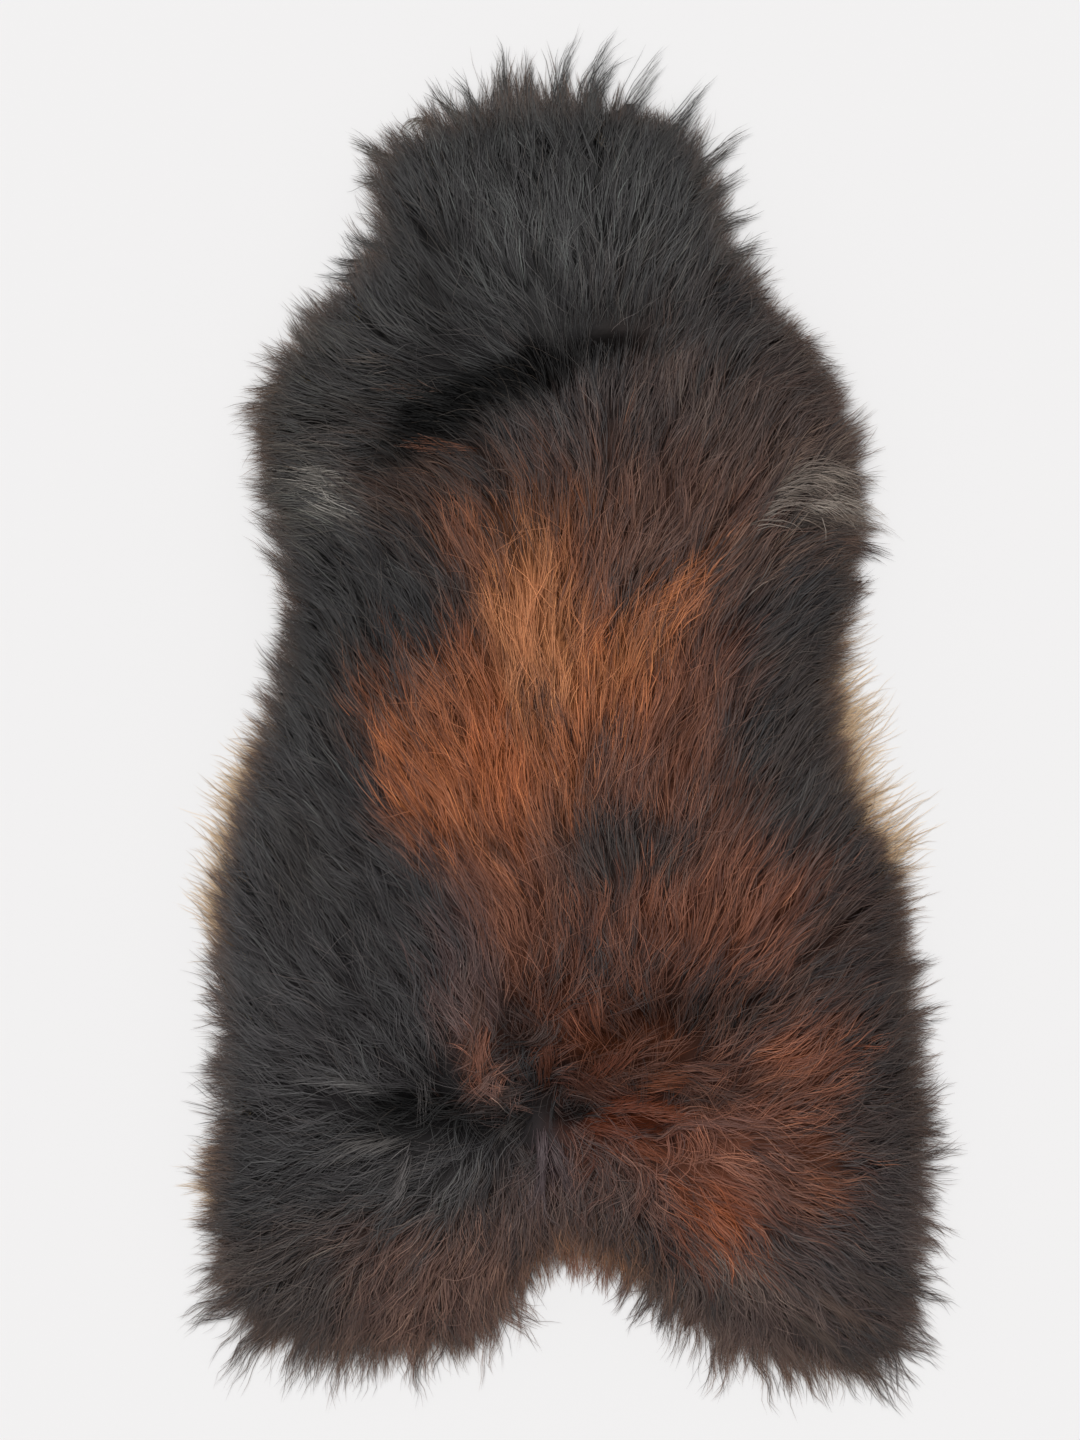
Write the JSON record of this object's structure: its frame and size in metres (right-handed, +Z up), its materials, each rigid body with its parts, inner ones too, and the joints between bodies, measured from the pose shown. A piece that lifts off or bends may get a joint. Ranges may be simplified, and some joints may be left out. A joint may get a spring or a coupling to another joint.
{
  "type": "sheepskin rug",
  "caption": "Flat natural sheepskin with long shaggy two-coat wool on a tanned hide, for use as a rug or a seat throw.",
  "frame": {"origin": "the middle of the hide's underside, on the surface that the skin lies on", "axes": "+Z up out of the wool, +Y along the back towards the neck, +X across the back to the right as seen from above"},
  "size_m": [0.6435, 1.1508, 0.0533],
  "materials": {
    "tanned_leather": "cream suede, the flesh side of a tanned sheepskin",
    "long_wool": "long glossy undyed wool in wavy locks, charcoal with orange-brown and rust patches over a cream undercoat"
  },
  "bodies": {
    "root": {"hide": "tanned_leather", "fleece": "long_wool"}
  },
  "joints": []
}
